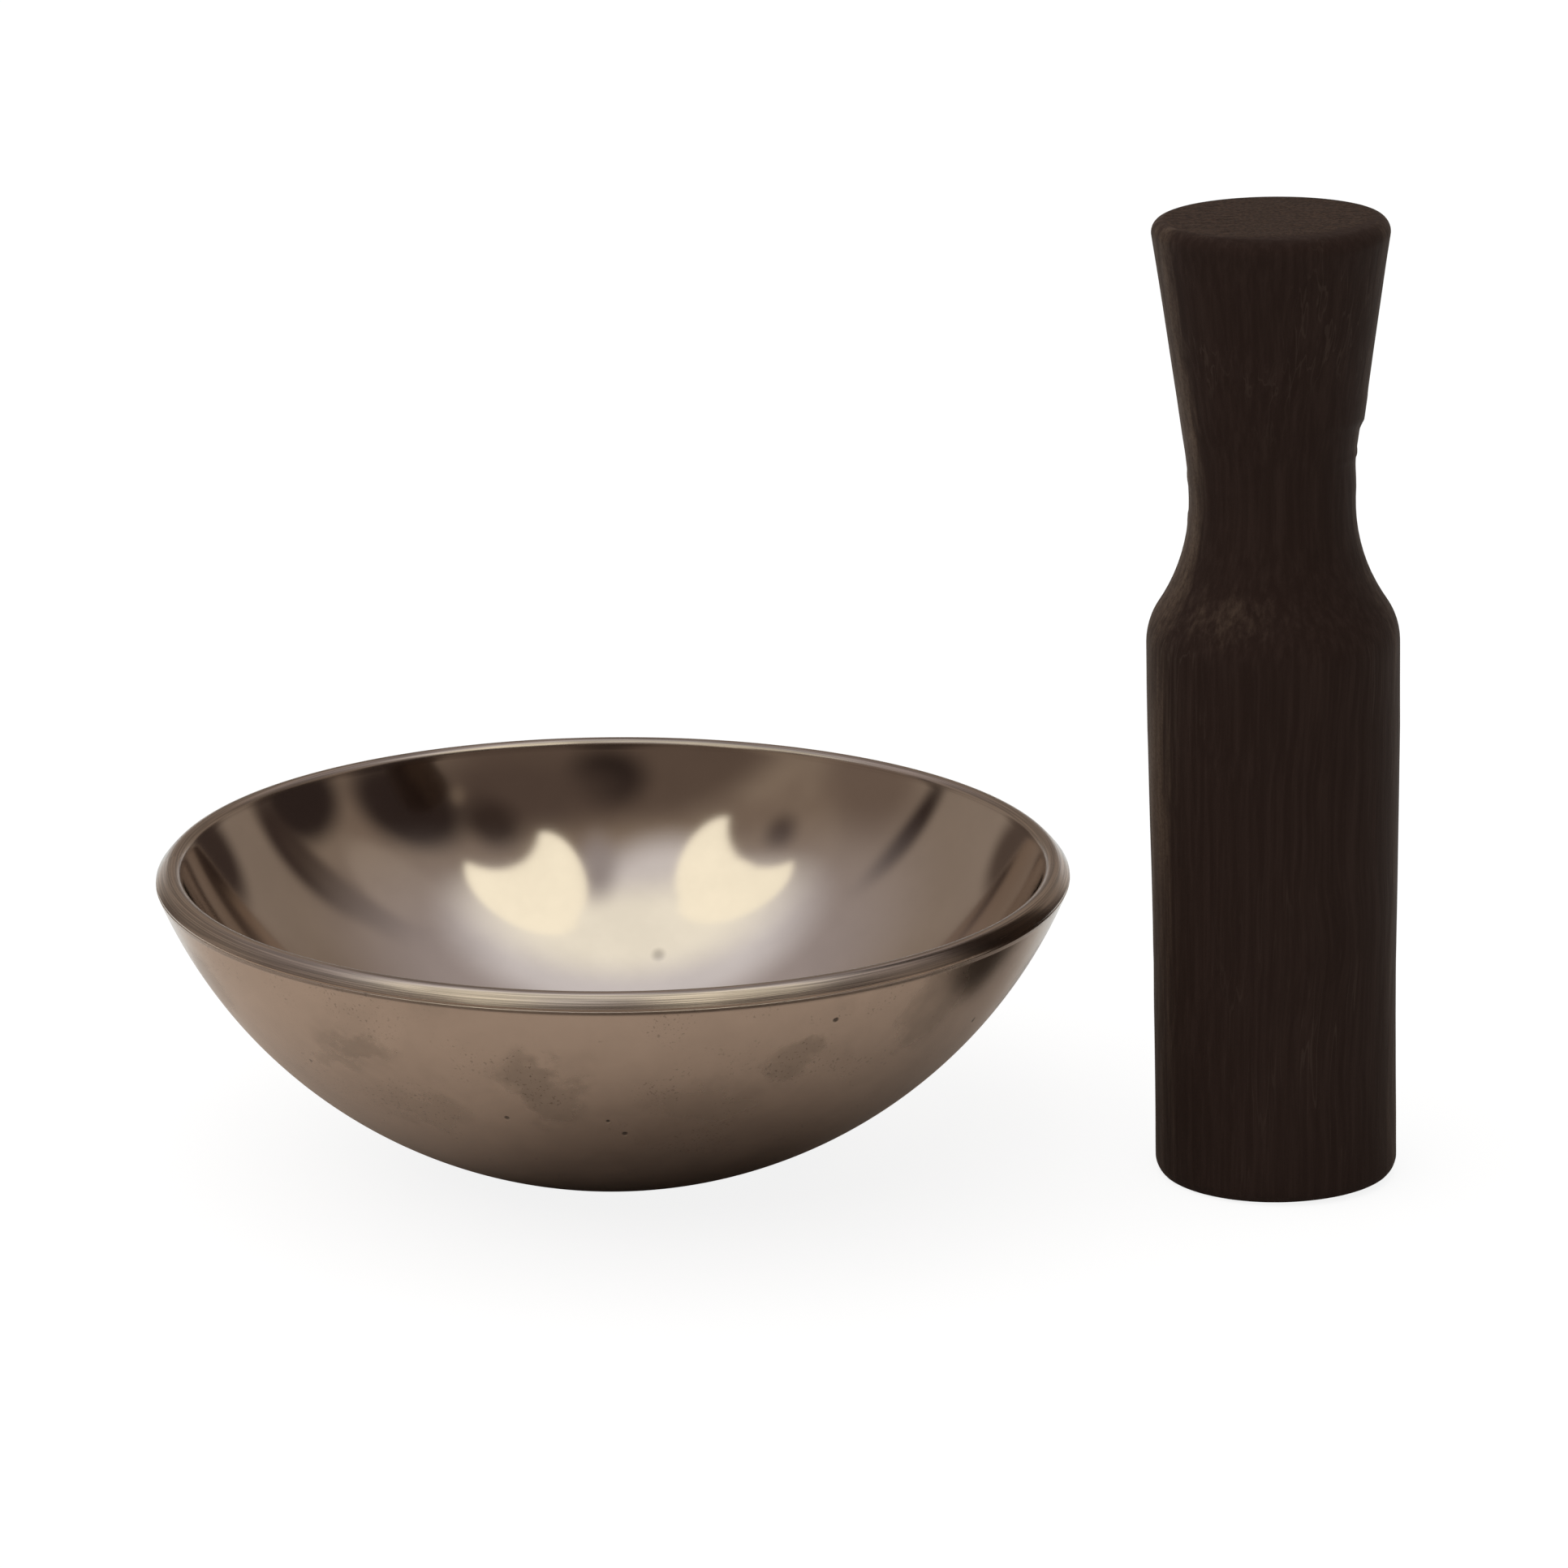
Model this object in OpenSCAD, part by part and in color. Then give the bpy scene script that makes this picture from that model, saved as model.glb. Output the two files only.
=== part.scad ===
// Molcajete: a round-bottomed metal mortar bowl with its turned wooden pestle standing beside it.
// Millimetres, +Z up. The origin is the centre of the bowl's flat base; the pestle stands on the +X side.

/* [Bowl] */
// Outer diameter, measured at the crease under the rim
bowl_d = 200; // [160:1:300]
// Height of the crease above the table
crease_h = 63.8; // [40:0.1:85]
// Diameter of the flat base that the bowl rests on
base_d = 60; // [20:1:90]
// Thickness of the metal at the middle of the base
floor_t = 6; // [3:0.5:15]
// Thickness of the wall at the rim, which is rounded over in a full half circle
rim_t = 6.2; // [3:0.1:12]
// Radius of the fine turned groove that sets the rim off from the outside
groove_r = 0.35; // [0.15:0.05:0.8]

/* [Pestle] */
// Length along the pestle's own axis; the flare takes what the parts below it leave
pestle_l = 212.3; // [175:0.1:260]
// Diameter of the lower body, just above the foot
foot_d = 52.9; // [40:0.1:64]
// Rounding of the foot's edge
foot_edge_r = 4; // [1:0.5:8]
// Length of the lower body, from the foot to where the swelling starts
lower_l = 48; // [20:0.1:70]
// Diameter of the upper body, just below the shoulder
body_d = 54.6; // [46:0.1:66]
// Length over which the body swells from the lower to the upper diameter
swell_l = 53; // [20:0.1:70]
// Length of the upper body, from the swelling to the shoulder
upper_l = 19.2; // [5:0.1:40]
// Radius of the shoulder's convex curve
shoulder_r = 14.9; // [12:0.1:18]
// Diameter of the neck at its narrowest
neck_d = 35.9; // [30:0.1:43]
// Height of the neck's narrowest point above the start of the shoulder
neck_rise = 30.8; // [25:0.1:45]
// Radius of the hollow curve from the neck up into the flare
flare_r = 83; // [50:1:120]
// Angle of the flare's straight side from the pestle's axis, in degrees
flare_angle = 8; // [3:0.1:12]
// Rounding of the top edge
top_edge_r = 2.8; // [1:0.1:5]

/* [Placing] */
// Gap between the bowl's rim and the widest part of the pestle, side to side
pestle_gap = 18; // [5:1:60]
// How far the pestle's axis stands in front of the bowl's centre
pestle_forward = 14.4; // [0:0.1:60]
// Lean of the pestle towards the bowl, because its foot was cut slightly out of square
pestle_lean = 1.5; // [0:0.1:3]

/* [Hidden] */
$fn = 180;

// Curves that run into each other cross by this much instead of only touching, which keeps every join clean
crossing = 0.005;

// Bowl: the outside is one sphere through the crease and the edge of the base
bowl_r = bowl_d / 2;
base_r = base_d / 2;
rim_r = rim_t / 2;
outer_centre_h = (bowl_r ^ 2 + crease_h ^ 2 - base_r ^ 2) / (2 * crease_h);
outer_r = sqrt(base_r ^ 2 + outer_centre_h ^ 2);

// The inside is one sphere that touches the floor and runs smoothly into the rim's half circle
rim_centre_r = bowl_r - rim_r;
rim_over_floor = crease_h - floor_t;
rim_touch_r = rim_r - crossing;
inner_r = (rim_centre_r ^ 2 + rim_over_floor ^ 2 - rim_touch_r ^ 2) / (2 * (rim_over_floor + rim_touch_r));
inner_centre_h = floor_t + inner_r;

// Pestle: heights run along its own axis, up from the foot
foot_r = foot_d / 2;
body_r = body_d / 2;
neck_r = neck_d / 2;
foot_edge_centre_r = foot_r - foot_edge_r;
shoulder_centre_r = body_r - shoulder_r;
swell_end_h = lower_l + swell_l;
shoulder_h = swell_end_h + upper_l;
neck_h = shoulder_h + neck_rise;

// The hollow below the neck has the one radius that meets the shoulder's curve without a corner
shoulder_touch_r = shoulder_r - crossing;
neck_offset = neck_r - shoulder_centre_r;
hollow_r = (neck_offset ^ 2 + neck_rise ^ 2 - shoulder_touch_r ^ 2) / (2 * (shoulder_touch_r - neck_offset));
hollow_centre_r = neck_r + hollow_r - 2 * crossing;
turn_r = shoulder_centre_r + (neck_offset + hollow_r) * shoulder_r / (shoulder_r + hollow_r);

// The hollow above the neck opens into the straight flare
flare_centre_r = neck_r + flare_r - crossing;
flare_start_h = neck_h + flare_r * sin(flare_angle);
flare_start_r = neck_r + flare_r * (1 - cos(flare_angle));
flare_line_r = flare_start_r - (flare_start_h - neck_h) * tan(flare_angle);
top_r = flare_start_r + (pestle_l - flare_start_h) * tan(flare_angle);
top_edge_centre_r = top_r - top_edge_r * (tan(flare_angle) + 1 / cos(flare_angle));
top_edge_centre_h = pestle_l - top_edge_r;
top_edge_start_r = top_edge_centre_r + top_edge_r * cos(flare_angle);
top_edge_start_h = top_edge_centre_h - top_edge_r * sin(flare_angle);

pestle_x = bowl_r + pestle_gap + max(foot_r, body_r, top_r);
// Set just deep enough that the level cut takes in the whole of the leaning foot
foot_sink = foot_edge_centre_r * sin(pestle_lean);

// The wall between the two spheres, up to the line through the inner centre and the rim's centre
module bowl_wall_profile() {
    intersection() {
        translate([0, outer_centre_h]) circle(outer_r);
        polygon([
            [0, 0],
            [bowl_d, 0],
            [bowl_d, crease_h],
            [rim_centre_r, crease_h],
            [0, inner_centre_h]
        ]);
    }
}

module bowl_profile() {
    difference() {
        union() {
            bowl_wall_profile();
            translate([rim_centre_r, crease_h]) circle(rim_r);
        }
        translate([0, inner_centre_h]) circle(inner_r);
        translate([bowl_r, crease_h]) circle(groove_r);
    }
}

module bowl() {
    color("#8a7463") rotate_extrude() bowl_profile();
}

// Foot and body, with the shoulder's curve
module body_profile() {
    polygon([
        [0, 0],
        [foot_edge_centre_r, 0],
        [foot_r, foot_edge_r],
        [foot_r, lower_l],
        [body_r, swell_end_h],
        [body_r, shoulder_h],
        [0, shoulder_h]
    ]);
    translate([foot_edge_centre_r, foot_edge_r]) circle(foot_edge_r);
    intersection() {
        translate([shoulder_centre_r, shoulder_h]) circle(shoulder_r);
        translate([shoulder_centre_r, 0]) square([shoulder_r, neck_h]);
    }
}

// From the narrowest point up: the upper hollow, then the straight flare with its rounded top edge
module flare_profile() {
    difference() {
        translate([0, neck_h]) square([flare_start_r, flare_start_h - neck_h]);
        translate([flare_centre_r, neck_h]) circle(flare_r);
    }
    polygon([
        [0, neck_h],
        [flare_line_r, neck_h],
        [top_edge_start_r, top_edge_start_h],
        [top_edge_centre_r + crossing, top_edge_centre_h],
        [top_edge_centre_r + crossing, pestle_l],
        [0, pestle_l]
    ]);
    translate([top_edge_centre_r + crossing, top_edge_centre_h]) circle(top_edge_r);
}

module pestle_profile() {
    difference() {
        union() {
            body_profile();
            translate([0, shoulder_h]) square([turn_r, neck_rise]);
            flare_profile();
        }
        translate([hollow_centre_r, neck_h]) circle(hollow_r);
    }
}

module pestle() {
    color("#2b1d18") difference() {
        translate([pestle_x, -pestle_forward, -foot_sink])
            rotate([0, -pestle_lean, 0])
                rotate_extrude() pestle_profile();
        translate([pestle_x - body_d, -pestle_forward - body_d, -body_d])
            cube([2 * body_d, 2 * body_d, body_d]);
    }
}

bowl();
pestle();
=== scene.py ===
"""Looks for a mortar and pestle: a polished bronze bowl and a dark, hand-worn wooden pestle."""

import math

import bpy
import numpy as np
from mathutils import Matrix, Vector, noise
from mathutils.bvhtree import BVHTree


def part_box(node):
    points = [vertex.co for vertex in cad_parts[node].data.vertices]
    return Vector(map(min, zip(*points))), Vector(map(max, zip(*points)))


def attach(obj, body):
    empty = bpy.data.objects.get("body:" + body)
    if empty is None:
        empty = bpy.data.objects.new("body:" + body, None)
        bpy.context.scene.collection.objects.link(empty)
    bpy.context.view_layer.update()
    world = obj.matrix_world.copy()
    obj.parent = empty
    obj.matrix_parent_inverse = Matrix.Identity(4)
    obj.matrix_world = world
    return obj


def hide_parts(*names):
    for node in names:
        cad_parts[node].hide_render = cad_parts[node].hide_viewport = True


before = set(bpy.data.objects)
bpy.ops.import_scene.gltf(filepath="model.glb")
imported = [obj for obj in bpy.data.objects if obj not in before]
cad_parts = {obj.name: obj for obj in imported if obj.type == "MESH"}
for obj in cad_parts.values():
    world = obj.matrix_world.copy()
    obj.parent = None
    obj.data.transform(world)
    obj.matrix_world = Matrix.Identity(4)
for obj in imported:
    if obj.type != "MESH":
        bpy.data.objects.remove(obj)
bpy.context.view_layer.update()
MM = 0.001


# ---------------------------------------------------------------- node helpers
class Graph:
    """A node tree with short calls for the few node kinds that this script uses."""

    def __init__(self, tree):
        self.tree = tree
        tree.nodes.clear()

    def node(self, kind, **settings):
        made = self.tree.nodes.new(kind)
        for name, value in settings.items():
            setattr(made, name, value)
        return made

    def put(self, socket, value):
        """Links a socket into another, or sets a plain value on it."""
        if isinstance(value, bpy.types.NodeSocket):
            self.tree.links.new(value, socket)
        elif value is not None:
            socket.default_value = value

    def math(self, operation, a, b=None, c=None):
        made = self.node("ShaderNodeMath", operation=operation)
        for socket, value in zip(made.inputs, (a, b, c)):
            self.put(socket, value)
        return made.outputs[0]

    def smooth(self, value, low, high, out_low=0.0, out_high=1.0):
        """An S-curve from out_low at low to out_high at high; low may be above high."""
        made = self.node("ShaderNodeMapRange", interpolation_type="SMOOTHSTEP")
        if low > high:
            low, high, out_low, out_high = high, low, out_high, out_low
        for name, number in (
            ("Value", value),
            ("From Min", low),
            ("From Max", high),
            ("To Min", out_low),
            ("To Max", out_high),
        ):
            self.put(made.inputs[name], number)
        return made.outputs[0]

    def mix(self, factor, a, b):
        made = self.node("ShaderNodeMix", data_type="RGBA")
        self.put(made.inputs[0], factor)
        self.put(made.inputs[6], colour(a))
        self.put(made.inputs[7], colour(b))
        return made.outputs[2]

    def scale_colour(self, a, factor):
        made = self.node("ShaderNodeVectorMath", operation="SCALE")
        self.put(made.inputs[0], a)
        self.put(made.inputs["Scale"], factor)
        return made.outputs[0]

    def vector(self, x, y, z):
        made = self.node("ShaderNodeCombineXYZ")
        for socket, value in zip(made.inputs, (x, y, z)):
            self.put(socket, value)
        return made.outputs[0]

    def split(self, vector):
        made = self.node("ShaderNodeSeparateXYZ")
        self.put(made.inputs[0], vector)
        return made.outputs[0], made.outputs[1], made.outputs[2]

    def noise(self, vector, scale, detail=3.0, roughness=0.5, distortion=0.0):
        made = self.node("ShaderNodeTexNoise")
        for name, value in (
            ("Vector", vector),
            ("Scale", scale),
            ("Detail", detail),
            ("Roughness", roughness),
            ("Distortion", distortion),
        ):
            self.put(made.inputs[name], value)
        return made.outputs["Fac"]

    def reach(self, across, up):
        """The length of a step across and a step up."""
        squares = self.math("ADD", self.math("MULTIPLY", across, across), self.math("MULTIPLY", up, up))
        return self.math("SQRT", squares)

    def attribute(self, name):
        return self.node("ShaderNodeAttribute", attribute_name=name).outputs["Fac"]

    def bump(self, height, distance, strength=1.0, normal=None):
        made = self.node("ShaderNodeBump")
        self.put(made.inputs["Height"], height)
        self.put(made.inputs["Distance"], distance)
        self.put(made.inputs["Strength"], strength)
        self.put(made.inputs["Normal"], normal)
        return made.outputs[0]


def colour(value):
    """A three-part colour gets its alpha; a socket stays as it is."""
    if isinstance(value, tuple) and len(value) == 3:
        return (*value, 1.0)
    return value


def stretched(graph, parts, scales):
    """A place for noise, each of its three parts scaled by its own number."""
    return graph.vector(*(graph.math("MULTIPLY", part, scale) for part, scale in zip(parts, scales)))


def new_material(name):
    material = bpy.data.materials.new(name)
    material.use_nodes = True
    graph = Graph(material.node_tree)
    shader = graph.node("ShaderNodeBsdfPrincipled")
    output = graph.node("ShaderNodeOutputMaterial")
    graph.put(output.inputs["Surface"], shader.outputs[0])
    return material, graph, shader


def around_axis(graph):
    """Object coordinates in metres, then the distance from the Z axis, the angle round it and the height."""
    position = graph.node("ShaderNodeTexCoord").outputs["Object"]
    x, y, z = graph.split(position)
    return position, graph.reach(x, y), graph.math("ARCTAN2", y, x), z


# ---------------------------------------------------------------- camera, floor and light
CAMERA_PLACE = (0.0373, -1.3452, 0.4711)
CAMERA_DOWN = math.radians(16.08)
CAMERA_LENS = 147.35
SENSOR = 36.0


def make_camera():
    data = bpy.data.cameras.new("camera")
    data.lens = CAMERA_LENS
    data.sensor_width = SENSOR
    data.clip_start = 0.01
    data.clip_end = 50.0
    camera = bpy.data.objects.new("camera", data)
    camera.location = CAMERA_PLACE
    camera.rotation_euler = (math.pi / 2 - CAMERA_DOWN, 0.0, 0.0)
    bpy.context.scene.collection.objects.link(camera)
    bpy.context.scene.camera = camera


def mirrored_table(graph):
    """The table top as the metal mirrors it: brown, white behind the object and brown again far away."""
    place = graph.node("ShaderNodeTexCoord").outputs["Object"]
    x, y, _ = graph.split(place)
    # it is darkest under the front of the bowl, which stands in its own shadow there
    shadow_x, shadow_y = 12 * MM, -45 * MM
    off = graph.reach(graph.math("SUBTRACT", x, shadow_x), graph.math("SUBTRACT", y, shadow_y))
    in_light = graph.smooth(off, 21 * MM, 59 * MM)
    table = graph.mix(in_light, (0.32, 0.27, 0.235), (0.50, 0.43, 0.375))
    table = graph.mix(graph.smooth(y, 20 * MM, 150 * MM), table, (0.92, 0.98, 1.0))
    return graph.mix(graph.smooth(y, 450 * MM, 950 * MM), table, (0.56, 0.49, 0.43))


def make_floor():
    """A sheet that the camera sees nearly white. The polished metal mirrors it as a table top."""
    half = 6.0
    mesh = bpy.data.meshes.new("floor")
    corners = [(-half, -half, 0), (half, -half, 0), (half, half, 0), (-half, half, 0)]
    mesh.from_pydata(corners, [], [(0, 1, 2, 3)])
    floor = bpy.data.objects.new("floor", mesh)
    bpy.context.scene.collection.objects.link(floor)
    material = bpy.data.materials.new("pale_floor")
    material.use_nodes = True
    graph = Graph(material.node_tree)
    path = graph.node("ShaderNodeLightPath")
    tint = graph.mix(path.outputs["Is Glossy Ray"], (0.90, 0.90, 0.90), mirrored_table(graph))
    tint = graph.mix(path.outputs["Is Camera Ray"], tint, (0.15, 0.147, 0.144))
    sheet = graph.node("ShaderNodeBsdfDiffuse")
    graph.put(sheet.inputs["Color"], tint)
    # the camera sees mostly this even white, so that only a faint shadow is left
    even_white = 0.87
    light = graph.node("ShaderNodeEmission")
    graph.put(light.inputs["Color"], (1.0, 1.0, 1.0, 1.0))
    graph.put(light.inputs["Strength"], graph.math("MULTIPLY", path.outputs["Is Camera Ray"], even_white))
    both = graph.node("ShaderNodeAddShader")
    graph.put(both.inputs[0], sheet.outputs[0])
    graph.put(both.inputs[1], light.outputs[0])
    output = graph.node("ShaderNodeOutputMaterial")
    graph.put(output.inputs["Surface"], both.outputs[0])
    mesh.materials.append(material)


def make_sun():
    """The soft overhead light that falls evenly on the floor. The bowl mirrors the studio instead."""
    data = bpy.data.lights.new("soft_sun", "SUN")
    data.energy = 2.15
    data.angle = math.radians(70)
    sun = bpy.data.objects.new("soft_sun", data)
    sun.rotation_euler = (math.radians(18), math.radians(-16), 0.0)
    sun.visible_glossy = False
    bpy.context.scene.collection.objects.link(sun)


BRONZE = (0.575, 0.475, 0.395)
RIM_BRONZE = (0.590, 0.470, 0.380)


def mirrored(*look):
    """The light that the bronze shows as this sRGB colour, its parts from 0 to 255."""
    linear = [((part / 255 + 0.055) / 1.055) ** 2.4 for part in look]
    return tuple(light / tone for light, tone in zip(linear, BRONZE))


def room_place(graph, direction):
    """How far a direction leans from the zenith, in degrees: to the right and to the front."""
    x, y, z = graph.split(direction)
    level = graph.math("SQRT", graph.math("SUBTRACT", 1.0, graph.math("MULTIPLY", z, z)))
    level = graph.math("MAXIMUM", level, 0.001)
    tilt = graph.math("MULTIPLY", graph.math("ARCCOSINE", z), 180 / math.pi)
    right = graph.math("MULTIPLY", tilt, graph.math("DIVIDE", x, level))
    front = graph.math("MULTIPLY", tilt, graph.math("DIVIDE", graph.math("MULTIPLY", y, -1.0), level))
    return right, front


def room_oval(graph, place, centre_right, centre_front, half_right, half_front, soft, turn=0.0):
    """1 inside an oval in the room and 0 outside, with an edge that is soft by that share of its size."""
    off_right = graph.math("SUBTRACT", place[0], centre_right)
    off_front = graph.math("SUBTRACT", place[1], centre_front)
    c, s = math.cos(math.radians(turn)), math.sin(math.radians(turn))
    along = graph.math("ADD", graph.math("MULTIPLY", off_right, c), graph.math("MULTIPLY", off_front, s))
    across = graph.math(
        "SUBTRACT", graph.math("MULTIPLY", off_front, c), graph.math("MULTIPLY", off_right, s)
    )
    along = graph.math("DIVIDE", along, half_right)
    across = graph.math("DIVIDE", across, half_front)
    return graph.smooth(graph.reach(along, across), 1 + soft, 1 - soft)


def room_colour(graph, direction):
    """The room that the metal mirrors, laid out in degrees from the zenith: to the right and to the front."""
    place = room_place(graph, direction)

    def oval(*shape):
        return room_oval(graph, place, *shape)

    def less(shape, cut):
        return graph.math("MULTIPLY", shape, graph.math("SUBTRACT", 1.0, cut))

    uneven = graph.smooth(graph.noise(direction, 2.6, 2.0, 0.5), 0.35, 0.65)
    room = graph.mix(uneven, mirrored(108, 90, 76), mirrored(122, 104, 88))
    left_cut = oval(-41.5, 25.5, 15, 15, 0.08)
    right_cut = oval(33.5, 29, 14.8, 14.8, 0.08)
    lamp = mirrored(244, 229, 202)
    layers = (
        # the brighter walls to the left and right of the object
        (oval(-56, -30, 22, 36, 0.5), mirrored(124, 107, 93)),
        (oval(55, -48, 17, 20, 0.5), mirrored(118, 101, 87)),
        # the dim side of the room, behind the camera, and its darkest corners
        (oval(-2, 49, 58, 14, 0.35), mirrored(84, 68, 57)),
        (oval(-63, 14, 12, 20, 0.5), mirrored(98, 81, 69)),
        (oval(3, 46.5, 10, 7, 0.5), mirrored(30, 21, 18)),
        (oval(26, 37, 24, 9, 0.6, -15), mirrored(74, 59, 50)),
        (oval(30, 27.5, 7, 6, 0.6, -12), mirrored(48, 36, 30)),
        (oval(50, 17, 16, 10, 0.35, 145), mirrored(40, 30, 26)),
        (oval(40, 29.5, 1.6, 2.2, 0.8), mirrored(104, 87, 72)),
        (oval(67, -13, 7.5, 16, 0.35, 3), mirrored(40, 30, 26)),
        (oval(59, -27, 13, 6, 0.5, -27), mirrored(46, 34, 29)),
        (oval(46, -19, 15, 4.5, 0.7, -27), mirrored(74, 60, 50)),
        (oval(44, -5, 12, 8.5, 0.25, -15), mirrored(132, 114, 98)),
        (oval(52, -66, 13, 5.5, 0.4, 60), mirrored(50, 38, 32)),
        (oval(-54, -65, 13, 4.5, 0.4, -60), mirrored(70, 56, 47)),
        (oval(-62, -12, 12, 3.8, 0.6, 6), mirrored(42, 31, 27)),
        (oval(-38.5, 20, 3.5, 4, 0.8), mirrored(64, 50, 43)),
        # the soft light overhead, and the two lamps that stand in it
        (oval(-3, -14, 46, 35, 0.40), mirrored(146, 132, 126)),
        (oval(-4, 0, 34, 21, 0.3), mirrored(196, 186, 181)),
        (oval(-10, 16, 14, 13, 0.45), mirrored(196, 185, 178)),
        (oval(-3, 5, 29, 12, 0.5), mirrored(230, 218, 198)),
        (oval(4.5, 22.5, 4, 7.5, 0.8), mirrored(138, 126, 121)),
        (less(oval(-26, 10.5, 12.8, 8, 0.08), left_cut), lamp),
        (less(oval(-22.5, 19.5, 9, 12.5, 0.08, 20), left_cut), lamp),
        (less(oval(20.5, 10.5, 13.4, 8, 0.08, 20), right_cut), lamp),
        (less(oval(14.5, 18, 8, 12.5, 0.08, -14), right_cut), lamp),
    )
    for shape, tint in layers:
        room = graph.mix(shape, room, tint)
    # the white backdrop, a low strip behind the object
    _, y, z = graph.split(direction)
    behind = graph.math("MULTIPLY", graph.smooth(z, 0.12, 0.04), graph.smooth(y, 0.86, 0.97))
    return graph.mix(behind, room, (0.9, 0.92, 0.95))


def make_studio():
    """The world: white to the camera, even for soft light, and a furnished room to the polished metal."""
    world = bpy.data.worlds.new("studio")
    bpy.context.scene.world = world
    world.use_nodes = True
    graph = Graph(world.node_tree)
    direction = graph.node("ShaderNodeTexCoord").outputs["Generated"]
    room = room_colour(graph, direction)
    path = graph.node("ShaderNodeLightPath")
    x, y, _ = graph.split(direction)
    # soft light comes mostly from the white backdrop, and a little more from the left
    soft = graph.math("ADD", graph.smooth(y, -0.2, 0.9, 0.20, 1.05), graph.smooth(x, 0.2, -0.9, 0.0, 0.22))
    seen = graph.mix(path.outputs["Is Diffuse Ray"], room, graph.vector(soft, soft, soft))
    seen = graph.mix(path.outputs["Is Camera Ray"], seen, (1.0, 1.0, 1.0))
    background = graph.node("ShaderNodeBackground")
    graph.put(background.inputs["Color"], seen)
    output = graph.node("ShaderNodeOutputWorld")
    graph.put(output.inputs["Surface"], background.outputs[0])


# ---------------------------------------------------------------- turned meshes
def turned_mesh(name, rings, segments, bottom, top):
    """A closed mesh from rings of vertices, listed from the bottom centre to the top centre."""
    rings = np.asarray(rings)
    count = len(rings)
    points = np.concatenate([rings.reshape(-1, 3), [bottom, top]])
    ring, place = np.meshgrid(np.arange(count - 1), np.arange(segments), indexing="ij")
    after = (place + 1) % segments
    low, high = ring * segments, (ring + 1) * segments
    quads = np.stack([low + place, low + after, high + after, high + place], axis=-1).reshape(-1, 4)
    first, last = count * segments, count * segments + 1
    faces = [tuple(int(i) for i in quad) for quad in quads]
    end = (count - 1) * segments
    for i in range(segments):
        j = (i + 1) % segments
        faces.append((first, j, i))
        faces.append((last, end + i, end + j))
    mesh = bpy.data.meshes.new(name)
    mesh.from_pydata([tuple(p) for p in points], [], faces)
    mesh.update()
    mesh.shade_smooth()
    piece = bpy.data.objects.new(name, mesh)
    bpy.context.scene.collection.objects.link(piece)
    return piece


def arc(centre_r, centre_h, radius, start, end, count):
    """Points on an arc in the (radius, height) plane, its angles in radians from the outward direction."""
    angles = np.linspace(start, end, count)
    return [(centre_r + radius * math.cos(a), centre_h + radius * math.sin(a)) for a in angles]


def attribute(piece, name, values):
    layer = piece.data.attributes.new(name, "FLOAT", "POINT")
    layer.data.foreach_set("value", np.asarray(values, dtype=np.float32))


# ---------------------------------------------------------------- bowl
RIM_R = 3.1 * MM
GROOVE_R = 0.35 * MM
CREST_R = 2.2 * MM
# the way that the bevel faces at the crease, up from outwards
BEVEL_START = math.radians(34)
# the base meets the outside in a small bevel: its size on the base, and up the outside
BASE_BREAK = 0.25 * MM
OUTSIDE_BREAK = 0.3 * MM
BOWL_SEGMENTS = 416


def bowl_sizes():
    """The radii and heights of the CAD bowl, from its node's mesh."""
    _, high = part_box("bowl")
    points = np.array([v.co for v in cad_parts["bowl"].data.vertices])
    radii = np.hypot(points[:, 0], points[:, 1])
    on_base = points[:, 2] < 0.01 * MM
    at_axis = (radii < 2 * MM) & ~on_base
    return {
        "crease_r": high.x,
        "crease_h": high.z - RIM_R,
        "base_r": float(radii[on_base].max()),
        "floor_h": float(points[at_axis, 2].min()),
    }


def rim_outline(crease_r, crease_h, inner_r, inner_h):
    """A bevel from the crease, then a small round crest. Also the angle where the crest meets the inside."""
    crest_h = crease_h + RIM_R - CREST_R
    crest_r = math.sqrt((inner_r + CREST_R) ** 2 - (inner_h - crest_h) ** 2)
    inwards, up = crease_r - crest_r, crest_h - crease_h
    facing_r, facing_h = math.cos(BEVEL_START), math.sin(BEVEL_START)
    slack = inwards * facing_r - up * facing_h - CREST_R
    bevel_r = (inwards**2 + up**2 - CREST_R**2) / (2 * slack)
    centre_r, centre_h = crease_r - bevel_r * facing_r, crease_h - bevel_r * facing_h
    bevel_end = math.atan2(crest_h - centre_h, crest_r - centre_r)
    touch = math.atan2(inner_h - crest_h, -crest_r)
    bevel = arc(centre_r, centre_h, bevel_r, BEVEL_START + 1.1 * GROOVE_R / bevel_r, bevel_end, 18)
    crest = arc(crest_r, crest_h, CREST_R, bevel_end, touch, 12)[1:]
    return bevel + crest, touch


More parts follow.
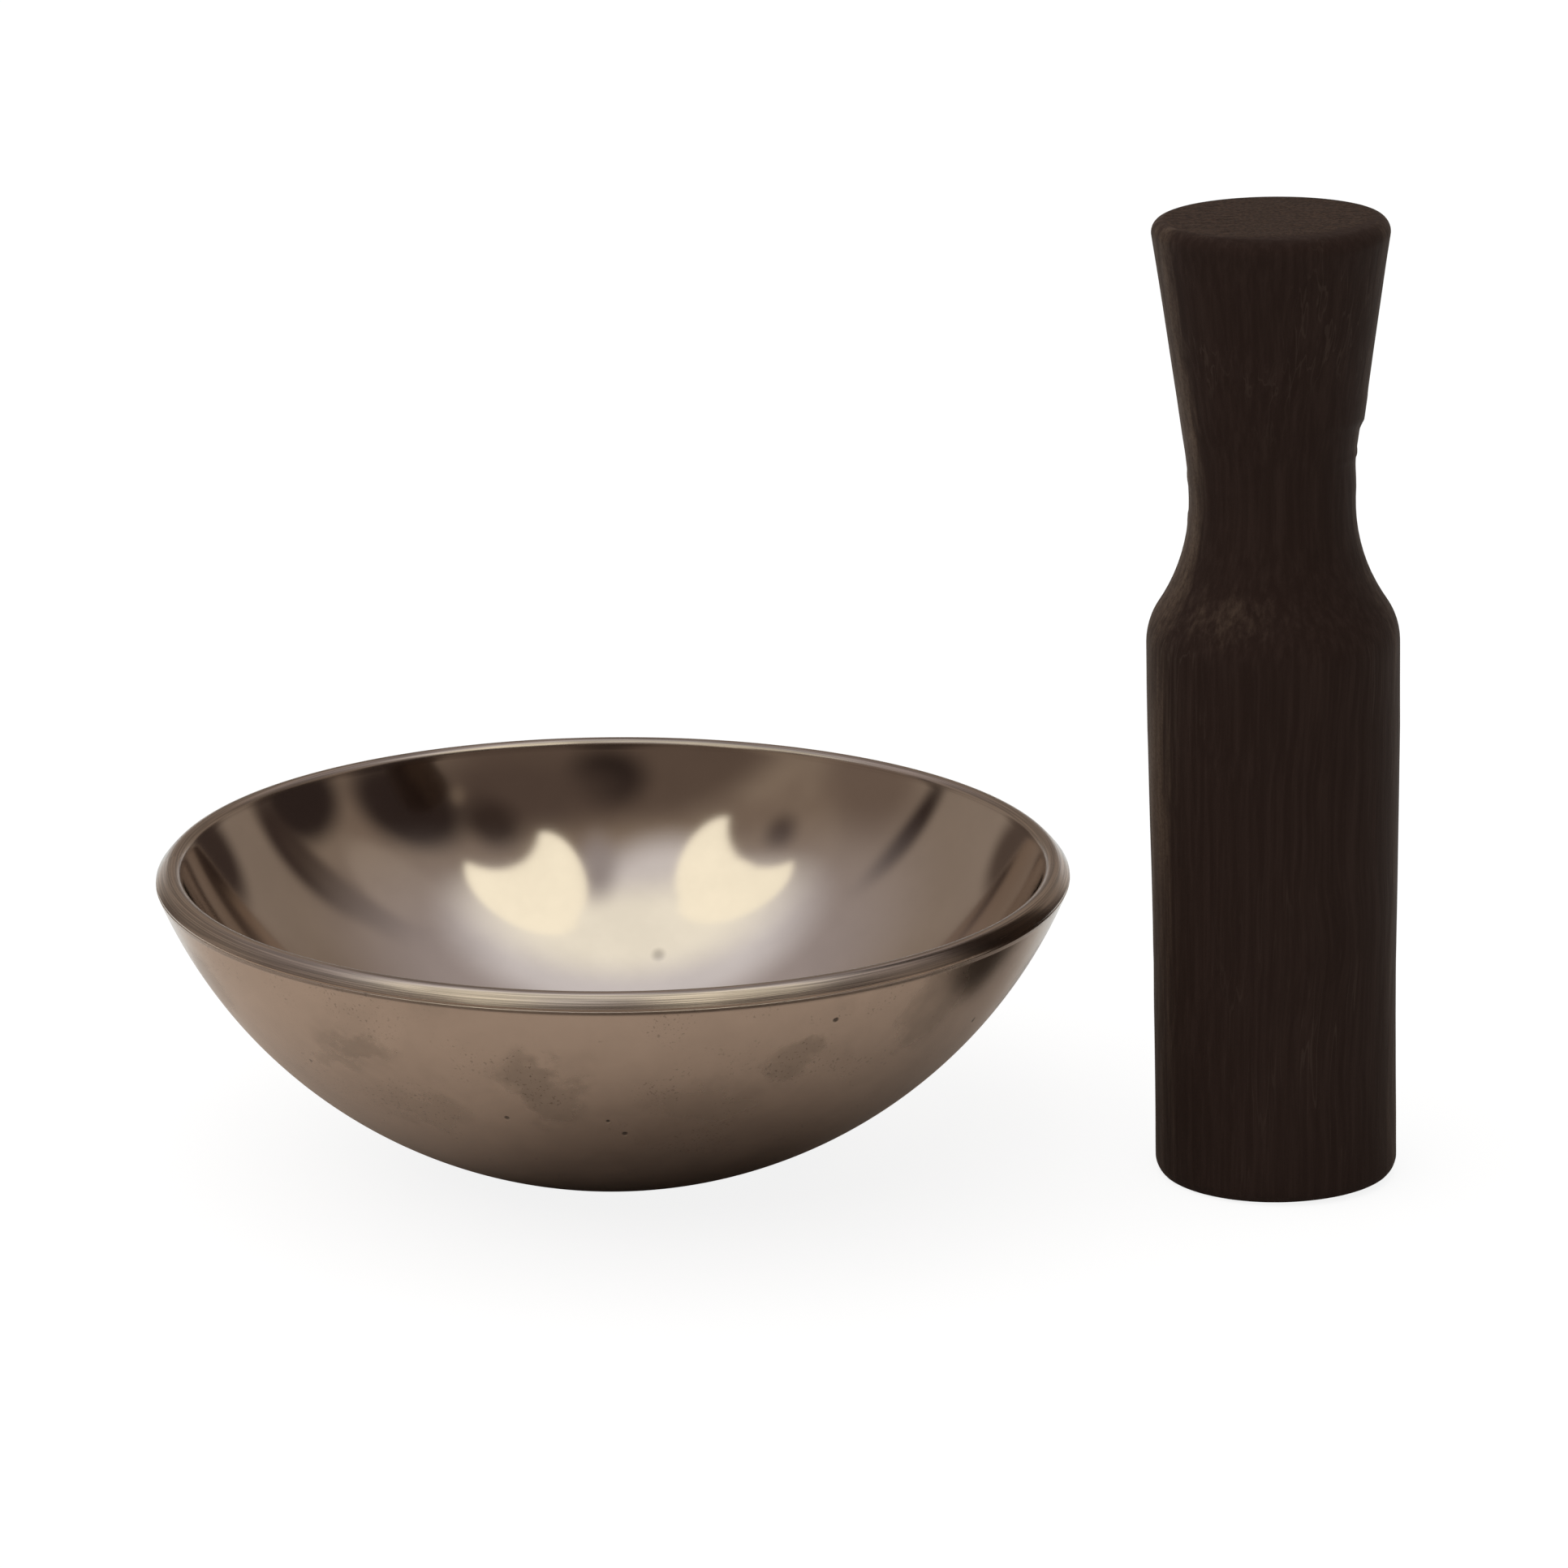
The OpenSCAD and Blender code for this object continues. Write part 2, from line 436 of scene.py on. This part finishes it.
def bowl_outline():
    """The bowl's outline from the middle of its base, up the outside, over the rim and down the inside."""
    size = bowl_sizes()
    crease_r, crease_h, base_r, floor_h = (size[k] for k in ("crease_r", "crease_h", "base_r", "floor_h"))
    # the outside is a sphere through the base's edge and the crease
    outer_h = (crease_r**2 + crease_h**2 - base_r**2) / (2 * crease_h)
    outer_r = math.hypot(base_r, outer_h)
    # the inside is a sphere that touches the floor and the full-round rim
    rise = crease_h - floor_h
    inner_r = ((crease_r - RIM_R) ** 2 + rise**2 - RIM_R**2) / (2 * (rise + RIM_R))
    inner_h = floor_h + inner_r
    base_edge = math.atan2(-outer_h, base_r) + OUTSIDE_BREAK / outer_r
    crease = math.atan2(crease_h - outer_h, crease_r)
    base = [(base_r * k / 14, 0.0) for k in range(1, 14)] + [(base_r - BASE_BREAK, 0.0)]
    outside = arc(0, outer_h, outer_r, base_edge, crease - GROOVE_R / outer_r, 84)
    # the groove is a small notch along the crease, open to the outside
    groove = arc(crease_r, crease_h, GROOVE_R, crease + 1.5 * math.pi, BEVEL_START + math.pi / 2, 7)
    rim, touch = rim_outline(crease_r, crease_h, inner_r, inner_h)
    inside = arc(0, inner_h, inner_r, touch - math.pi, -math.pi / 2, 96)[1:-1]
    split = len(base) + len(outside) + len(groove) // 2
    return base + outside + groove + rim + inside, split, floor_h


def make_bowl():
    outline, split, floor_h = bowl_outline()
    turns = np.linspace(0, 2 * math.pi, BOWL_SEGMENTS, endpoint=False)
    level = np.ones_like(turns)
    rings = np.asarray([np.stack([r * np.cos(turns), r * np.sin(turns), h * level], -1) for r, h in outline])
    wander(rings, outline)
    bowl = turned_mesh("bowl_shell", rings, BOWL_SEGMENTS, (0, 0, 0), (0, 0, floor_h))
    bowl.data.materials.append(make_satin_bronze())
    bowl.data.materials.append(make_polished_bronze())
    # the polish starts half way over the groove; the last faces are two fans, base and floor in turn
    which = np.zeros(len(bowl.data.polygons), dtype=np.int32)
    quads = (len(outline) - 1) * BOWL_SEGMENTS
    which[split * BOWL_SEGMENTS : quads] = 1
    which[quads + 1 :: 2] = 1
    bowl.data.polygons.foreach_set("material_index", which)
    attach(bowl, "bowl")
    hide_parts("bowl")


def wander(rings, outline):
    """Shifts the rings slightly inwards, because the casting was scraped and polished by hand."""
    depth = 0.05 * MM
    scale = 1 / (34 * MM)
    untouched_middle = 4 * MM
    for i, (r, h) in enumerate(outline):
        if r < untouched_middle or h <= 0:
            continue
        for point in rings[i]:
            wave = noise.noise(Vector(point) * scale)
            point[:2] *= 1 - depth * (0.5 + 0.5 * wave) / r


def bronze(name):
    material, graph, shader = new_material(name)
    shader.inputs["Metallic"].default_value = 1.0
    return material, graph, shader


def spot(graph, angle, height, place, size, soft):
    """1 inside an oval on the wall and 0 outside. The place is in degrees round and mm up, the size in mm."""
    at_angle, at_height = place
    half_wide, half_high = size
    wall_radius = 90
    turned = graph.math("SUBTRACT", angle, math.radians(at_angle))
    across = graph.math("MULTIPLY", turned, wall_radius / half_wide)
    up = graph.math("DIVIDE", graph.math("SUBTRACT", height, at_height * MM), half_high * MM)
    return graph.smooth(graph.reach(across, up), 1 + soft, 1 - soft)


def spots(graph, angle, height, places, soft):
    """All the spots of a list together; each has its place, size and strength."""
    together = 0.0
    for place, size, strength in places:
        one = graph.math("MULTIPLY", spot(graph, angle, height, place, size, soft), strength)
        together = graph.math("MAXIMUM", together, one)
    return together


def make_polished_bronze():
    """Inside and rim: nearly a mirror, with faint turning lines that gather on the rim."""
    material, graph, shader = bronze("bronze_polished")
    position, radius, angle, height = around_axis(graph)
    tarnish = graph.smooth(graph.noise(position, 46.0, 4.0, 0.6), 0.35, 0.7)
    pit = spots(graph, angle, height, INSIDE_PITS, 0.8)
    beyond, above = graph.smooth(radius, 93.7 * MM, 94.9 * MM), graph.smooth(height, 62.5 * MM, 64.0 * MM)
    on_rim = graph.math("MULTIPLY", beyond, above)
    shade = graph.math("SUBTRACT", 1.02, graph.math("MULTIPLY", tarnish, 0.06))
    shade = graph.math("MULTIPLY", shade, graph.math("SUBTRACT", 1.0, graph.math("MULTIPLY", pit, 0.35)))
    cloud = graph.noise(position, 75.0, 3.0, 0.55)
    rough = graph.math("ADD", 0.065, graph.math("MULTIPLY", cloud, 0.05))
    # turning lines follow the bowl round: fine across, long along
    line_place = stretched(graph, (radius, height, angle), (3300.0, 3300.0, 2.2))
    lines = graph.noise(line_place, 1.0, 2.0, 0.6)
    wear = graph.smooth(lines, 0.36, 0.60, 0.14, 0.50)
    shade = graph.math("SUBTRACT", shade, graph.math("MULTIPLY", on_rim, wear))
    metal = graph.mix(on_rim, BRONZE, RIM_BRONZE)
    graph.put(shader.inputs["Base Color"], graph.scale_colour(metal, shade))
    rim_rough = graph.math("ADD", 0.07, graph.math("MULTIPLY", lines, 0.16))
    rough = graph.math("ADD", rough, graph.math("MULTIPLY", on_rim, rim_rough))
    graph.put(shader.inputs["Roughness"], rough)
    line_bump = graph.bump(lines, 0.00002, graph.math("ADD", 0.04, graph.math("MULTIPLY", on_rim, 0.9)))
    pit_bump = graph.bump(pit, -0.0001, 0.25, line_bump)
    graph.put(shader.inputs["Normal"], pit_bump)
    return material


# (degrees round, mm up), (half width, half height in mm), strength; the front is at -90 degrees
SMUDGES = (
    ((-100, 45), (5.8, 7.0), 1.0),
    ((-97, 39), (6.5, 6.0), 0.7),
    ((-124, 48.5), (9.5, 3.0), 0.6),
    ((-129, 43), (6.0, 3.0), 0.5),
    ((-65, 47.5), (5.0, 5.0), 0.8),
    ((-76, 38), (14, 6.0), 0.4),
    ((-44, 55), (7.5, 10.0), 0.75),
    ((-118, 33), (12, 5.0), 0.4),
    ((-155, 50), (8, 7), 0.6),
    ((-15, 47), (9, 8), 0.6),
    ((22, 52), (7, 8), 0.7),
    ((48, 40), (12, 6), 0.5),
    ((83, 50), (8, 8), 0.8),
    ((112, 44), (6, 7), 0.6),
    ((140, 52), (9, 6), 0.5),
    ((165, 36), (9, 6), 0.5),
)
OUTSIDE_PITS = (
    ((-60.3, 56.8), (0.55, 0.5), 1.0),
    ((-104.4, 33.8), (0.5, 0.45), 0.8),
    ((-89.5, 34.0), (0.4, 0.4), 0.8),
    ((-87.0, 30.0), (0.6, 0.5), 0.9),
    ((-136.0, 40.0), (0.4, 0.35), 0.7),
    ((-30.0, 44.0), (0.5, 0.5), 0.8),
    ((12.0, 50.0), (0.6, 0.5), 0.9),
    ((64.0, 35.0), (0.5, 0.4), 0.8),
    ((97.0, 56.0), (0.5, 0.5), 0.9),
    ((129.0, 30.0), (0.6, 0.45), 0.9),
    ((158.0, 47.0), (0.4, 0.4), 0.8),
)
INSIDE_PITS = (
    ((82, 25.4), (1.9, 0.8), 1.0),
    ((-40, 22), (0.6, 0.6), 0.8),
)


def make_satin_bronze():
    """Outside: brushed to a satin, with smudges from handling and a few casting pits."""
    material, graph, shader = bronze("bronze_satin")
    position, radius, angle, height = around_axis(graph)
    # the smudges have ragged edges
    ragged = graph.math("SUBTRACT", graph.noise(position, 130.0, 3.0, 0.55), 0.5)
    loose_angle = graph.math("ADD", angle, graph.math("MULTIPLY", ragged, 0.16))
    loose_height = graph.math("ADD", height, graph.math("MULTIPLY", ragged, 14 * MM))
    smudge = spots(graph, loose_angle, loose_height, SMUDGES, 0.38)
    pit = spots(graph, angle, height, OUTSIDE_PITS, 0.5)
    mottle = graph.noise(position, 120.0, 5.0, 0.66, 0.4)
    grime = graph.smooth(graph.noise(position, 44.0, 3.0, 0.6), 0.50, 0.64)
    shade = graph.math("ADD", 0.965, graph.math("MULTIPLY", graph.math("SUBTRACT", mottle, 0.5), 0.22))
    shade = graph.math("SUBTRACT", shade, graph.math("MULTIPLY", smudge, 0.26))
    # fine dark flecks that lie in clusters
    flecks = graph.smooth(graph.noise(position, 1500.0, 1.0, 0.5), 0.36, 0.30)
    clusters = graph.smooth(graph.noise(position, 75.0, 2.0, 0.5), 0.48, 0.62)
    flecks = graph.math("MULTIPLY", flecks, clusters)
    shade = graph.math("SUBTRACT", shade, graph.math("MULTIPLY", flecks, 0.30))
    shade = graph.math("SUBTRACT", shade, graph.math("MULTIPLY", grime, 0.07))
    shade = graph.math("MULTIPLY", shade, graph.math("SUBTRACT", 1.0, graph.math("MULTIPLY", pit, 0.75)))
    graph.put(shader.inputs["Base Color"], graph.scale_colour(BRONZE, shade))
    rough = graph.math("ADD", 0.20, graph.math("MULTIPLY", graph.noise(position, 60.0, 3.0, 0.6), 0.10))
    rough = graph.math("ADD", rough, graph.math("MULTIPLY", smudge, 0.07))
    graph.put(shader.inputs["Roughness"], rough)
    brushed_place = stretched(graph, (angle, height, radius), (9.0, 1500.0, 40.0))
    brushed = graph.bump(graph.noise(brushed_place, 1.0, 3.0, 0.6), 0.00002, 0.2)
    uneven = graph.bump(mottle, 0.00003, 0.3, brushed)
    graph.put(shader.inputs["Normal"], graph.bump(pit, -0.0003, 0.7, uneven))
    return material


# ---------------------------------------------------------------- pestle
PESTLE_SEGMENTS = 280


class PestleFrame:
    """The pestle's leaning axis and its outline, measured on the CAD node."""

    def __init__(self):
        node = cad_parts["pestle"]
        points = [v.co.copy() for v in node.data.vertices]
        self.tree = BVHTree.FromPolygons(points, [tuple(p.vertices) for p in node.data.polygons])
        low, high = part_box("pestle")
        self.middle_y = (low.y + high.y) / 2
        low_centre, high_centre = self.centre_at(30 * MM), self.centre_at(110 * MM)
        self.up = (high_centre - low_centre).normalized()
        self.foot = low_centre - self.up * (low_centre.z / self.up.z)
        self.side = Vector((0, 1, 0)).cross(self.up).normalized()
        self.back = self.up.cross(self.side)
        self.length = (self.tree.ray_cast(self.foot + self.up, -self.up)[0] - self.foot).dot(self.up)

    def centre_at(self, height):
        from_left = self.tree.ray_cast(Vector((0, self.middle_y, height)), Vector((1, 0, 0)))[0]
        from_right = self.tree.ray_cast(Vector((1, self.middle_y, height)), Vector((-1, 0, 0)))[0]
        return (from_left + from_right) / 2

    def radius_at(self, height):
        """Mean radius of the node round its axis at this height."""
        start = self.foot + self.up * height
        reach = []
        for a in np.linspace(0, 2 * math.pi, 12, endpoint=False):
            outwards = self.side * math.cos(a) + self.back * math.sin(a)
            hit = self.tree.ray_cast(start, outwards)[0]
            if hit:
                reach.append((hit - start).length)
        return sum(reach) / len(reach)

    def place(self, radius, angle, height):
        outwards = self.side * math.cos(angle) + self.back * math.sin(angle)
        return self.foot + self.up * height + outwards * radius


def pestle_outline(shape):
    """(radius, height) from the foot's middle to the top's middle, closer together round the two edges."""
    foot_edge, top_edge = 4 * MM, 3 * MM
    top = shape.length
    heights = list(np.linspace(0.15 * MM, foot_edge, 12))
    heights += list(np.linspace(foot_edge, top - top_edge, 300))[1:]
    quarter = np.linspace(0, math.pi / 2, 12)[1:-1]
    heights += [top - top_edge + top_edge * math.sin(a) for a in quarter]
    side = [(shape.radius_at(h), h) for h in heights]
    foot_r, top_r = side[0][0], side[-1][0]
    foot = [(foot_r * k / 10, 0.0) for k in range(1, 10)]
    cap = [(top_r * k / 26, top) for k in range(25, 0, -1)]
    return foot + side + cap, len(foot), len(foot) + len(side)


def make_pestle():
    shape = PestleFrame()
    outline, side_start, side_end = pestle_outline(shape)
    turns = np.linspace(-math.pi, math.pi, PESTLE_SEGMENTS, endpoint=False)
    rings, grain, wear, ends = [], [], [], []
    for i, (radius, height) in enumerate(outline):
        ring = []
        for turn in turns:
            out, deep, *marks = carve(shape, radius, turn, height, side_start <= i < side_end)
            point = shape.place(out, turn, deep)
            point.z = max(point.z, 0.0)
            ring.append(tuple(point))
            for values, mark in zip((grain, wear, ends), marks):
                values.append(mark)
        rings.append(ring)
    bottom = shape.foot.copy()
    bottom.z = 0.0
    top = shape.place(0, 0, shape.length - 0.1 * MM)
    pestle = turned_mesh("pestle_wood", rings, PESTLE_SEGMENTS, tuple(bottom), tuple(top))
    attribute(pestle, "grain", grain + [0.5, 0.5])
    # the wear attribute holds real wear together with painted side light and a painted edge highlight
    attribute(pestle, "wear", wear + [0.0, 0.0])
    attribute(pestle, "end_grain", ends + [0.0, 1.0])
    pestle.data.materials.append(make_dark_wood())
    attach(pestle, "pestle")
    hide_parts("pestle")


def bell(value, centre, half):
    """1 at the centre, falling away smoothly on both sides."""
    return math.exp(-(((value - centre) / half) ** 2))


def turn_from(angle, other):
    """The angle from one direction to another, between minus and plus half a turn."""
    return (angle - other + math.pi) % (2 * math.pi) - math.pi


def step(value, low, high):
    """An S-curve from 0 at low to 1 at high; low may be above high."""
    t = min(max((value - low) / (high - low), 0.0), 1.0)
    return t * t * (3 - 2 * t)


# where the marks lie on the pestle, in mm up from its foot
SHOULDER = 130.0
NECK_RIDGES = (147.0, 155.7)
FLAKE_END, FLAKE_RIDGE, FLAKE_TOP = 153.0, 161.0, 169.6
# radii on its top end, in mm: the flat middle, and just past the edge
TOP_FLAT, TOP_REACH = 22.3, 26.0


def carve(shape, radius, turn, height, on_side):
    """The worn surface at one point: its radius and height, then how strong grain, wear (with painted side
    light in it) and end grain are.

    Angles run from the pestle's right (0) through its back; the front is at -90 degrees.
    """
    mm, reach = height / MM, radius / MM
    top = shape.length / MM
    # the top edge is worn away more at the front right
    front_right = bell(turn_from(turn, math.radians(-62)), 0.0, 1.0)
    flat = TOP_FLAT - 5.0 * front_right
    past_flat = max(reach - flat, 0.0) / (TOP_REACH - flat)
    mm -= 1.5 * front_right * past_flat**2 * step(mm, top - 12.0, top - 2.5)
    if on_side:
        return carve_side(reach, turn, mm, top, front_right)
    return carve_end(reach, turn, mm, top, past_flat)


def carve_end(reach, turn, mm, top, past_flat):
    """The two flat ends: the top keeps the marks of the saw, and its end grain stops short of the edge."""
    c, s = math.cos(turn), math.sin(turn)
    rough = noise.noise(Vector((c * reach * 0.5, s * reach * 0.5, 1.7)))
    saw_mark = noise.noise(Vector((c * reach * 0.14, s * reach * 0.9, 5.0)))
    if mm > top / 2:
        mm -= 0.05 + 0.05 * rough + 0.05 * saw_mark
    return reach * MM, mm * MM, 0.5 + 0.5 * rough, 0.0, 1.0 - step(past_flat, 0.05, 0.40)


def carve_side(reach, turn, mm, top, front_right):
    """The side: fine grooves along a drifting grain, low lumps and the damage to the neck."""
    c, s = math.cos(turn), math.sin(turn)
    drift = 0.22 * math.sin(mm / 31.0 + 0.6) + 0.10 * math.sin(mm / 13.0)
    dc, ds = math.cos(turn + drift), math.sin(turn + drift)
    fine = noise.noise(Vector((dc * 11.0, ds * 11.0, mm / 26.0)))
    broad = noise.noise(Vector((dc * 4.2 + 7.0, ds * 4.2, mm / 55.0)))
    lumps = noise.noise(Vector((c * 1.3, s * 1.3, mm / 24.0 + 3.0)))
    grain = min(max(0.5 + 0.62 * fine + 0.35 * broad, 0.0), 1.0)
    near_top = step(mm, top - 9.0, top)
    depth = (0.03 + 0.05 * (1 - grain)) * (1 - 0.7 * near_top) + 0.10 + 0.10 * lumps
    depth += neck_damage(turn, mm)
    # the wear mark also carries painted side light and a painted highlight on the top edge
    wear = side_wear_and_light(turn, mm, top, front_right) * (0.75 + 0.5 * (grain - 0.5))
    return (reach - max(depth, 0.02)) * MM, mm * MM, grain, min(max(wear, 0.0), 1.0), 0.0


def neck_damage(turn, mm):
    """How much deeper the surface lies round the neck, in mm; less than 0 is a ridge."""
    # the step on the right, where a flake broke away, the lip above it and a thin ridge left inside it
    facing_right = bell(turn_from(turn, 0.0), -0.1, 0.75)
    ragged = 1.2 * noise.noise(Vector((turn * 3.0, 0.0, 9.0)))
    flake = step(mm + ragged, FLAKE_TOP, FLAKE_TOP - 3.1) * step(mm, FLAKE_END, FLAKE_RIDGE)
    lip = bell(mm + ragged, FLAKE_TOP + 1.3, 2.4)
    right = 0.62 * flake - 0.34 * lip - 0.26 * bell(mm, FLAKE_RIDGE, 0.7)
    # two low ridges on the left, with a scoop between them
    facing_left = bell(turn_from(turn, math.pi), 0.2, 0.8)
    lower, upper = NECK_RIDGES
    left = -0.40 * bell(mm, lower, 0.9) - 0.36 * bell(mm, upper, 0.9)
    return right * facing_right + left * facing_left


def side_wear_and_light(turn, mm, top, front_right):
    """How worn it is, and where light is painted: a worn shoulder, and the whole left side, a strip on the
    right and the top's corner, which are lighter for wear and for painted side light and a painted edge
    highlight.
    """
    shoulder = 0.46 * bell(mm, SHOULDER, 7.5) * bell(turn_from(turn, math.radians(-124)), 0.0, 0.80)
    # painted side light from the left, together with some real wear
    left_side = step(abs(turn_from(turn, math.radians(178))), math.radians(46), math.radians(22))
    left_side *= 0.46 + 0.40 * max(bell(mm, 95.0, 32.0), bell(mm, 165.0, 45.0))
    # painted light on the right edge, as from the backdrop behind, together with some wear
    right_side = 0.45 * step(abs(turn_from(turn, math.radians(2))), math.radians(42), math.radians(20))
    # painted highlight along the top edge, kept dark at the front right where it lies in shade
    corner = 0.5 * math.exp(-max(top - mm, 0.0) / 1.5) * (1 - front_right)
    return max(shoulder, left_side, right_side, corner)


def make_dark_wood():
    """Nearly black hardwood: streaked along its length, paler where hands and the bowl have worn it, and
    paler still on its sides and top edge as painted light.
    """
    material, graph, shader = new_material("wood_dark")
    position = graph.node("ShaderNodeTexCoord").outputs["Object"]
    x, y, z = graph.split(position)
    grain, wear, end = graph.attribute("grain"), graph.attribute("wear"), graph.attribute("end_grain")
    # the fibres wander a little to the side as they climb
    sway = graph.math("SUBTRACT", graph.noise(position, 22.0, 2.0, 0.5), 0.5)
    sway = graph.math("MULTIPLY", sway, 6 * MM)
    swayed = (graph.math("ADD", x, sway), graph.math("ADD", y, sway), z)
    fibre_place = stretched(graph, swayed, (640.0, 640.0, 24.0))
    fibre = graph.noise(fibre_place, 1.0, 4.0, 0.65)
    vein = graph.noise(fibre_place, 0.55, 2.0, 0.5)
    vein = graph.smooth(graph.math("ABSOLUTE", graph.math("SUBTRACT", vein, 0.5)), 0.018, 0.006)
    vein = graph.math("MULTIPLY", vein, graph.smooth(graph.noise(position, 30.0, 2.0, 0.5), 0.52, 0.62))
    body = graph.mix(graph.smooth(fibre, 0.35, 0.75), (0.0175, 0.0096, 0.0072), (0.0250, 0.0145, 0.0112))
    body = graph.mix(graph.math("MULTIPLY", vein, 0.30), body, (0.050, 0.034, 0.026))
    # the pale mark is wear together with painted side light and a painted highlight on the top edge
    rubbed_and_side_lit = graph.math("ADD", wear, graph.math("MULTIPLY", graph.math("SUBTRACT", fibre, 0.5), 0.8))
    rubbed_and_side_lit = graph.math("MULTIPLY", graph.smooth(rubbed_and_side_lit, 0.15, 0.95), graph.smooth(wear, 0.02, 0.30))
    speckle = graph.noise(position, 1300.0, 3.0, 0.7)
    rubbed_and_side_lit = graph.math("MULTIPLY", rubbed_and_side_lit, graph.smooth(speckle, 0.25, 0.65, 0.45, 1.0))
    body = graph.mix(rubbed_and_side_lit, body, (0.080, 0.053, 0.036))
    top = graph.mix(graph.smooth(speckle, 0.35, 0.68), (0.009, 0.0042, 0.0028), (0.040, 0.0225, 0.0145))
    graph.put(shader.inputs["Base Color"], graph.mix(end, body, top))
    graph.put(shader.inputs["Roughness"], graph.math("SUBTRACT", 0.72, graph.math("MULTIPLY", rubbed_and_side_lit, 0.14)))
    shader.inputs["Specular IOR Level"].default_value = 0.05
    shader.inputs["Sheen Weight"].default_value = 0.06
    shader.inputs["Sheen Roughness"].default_value = 0.4
    shader.inputs["Sheen Tint"].default_value = (0.80, 0.58, 0.44, 1.0)
    fibres = graph.bump(graph.math("ADD", fibre, graph.math("MULTIPLY", grain, 0.4)), 0.00016, 0.6)
    graph.put(shader.inputs["Normal"], graph.bump(speckle, 0.0001, 0.35, fibres))
    return material


# ---------------------------------------------------------------- scene
bpy.context.scene.view_settings.view_transform = "Standard"
make_camera()
make_floor()
make_sun()
make_studio()
make_bowl()
make_pestle()
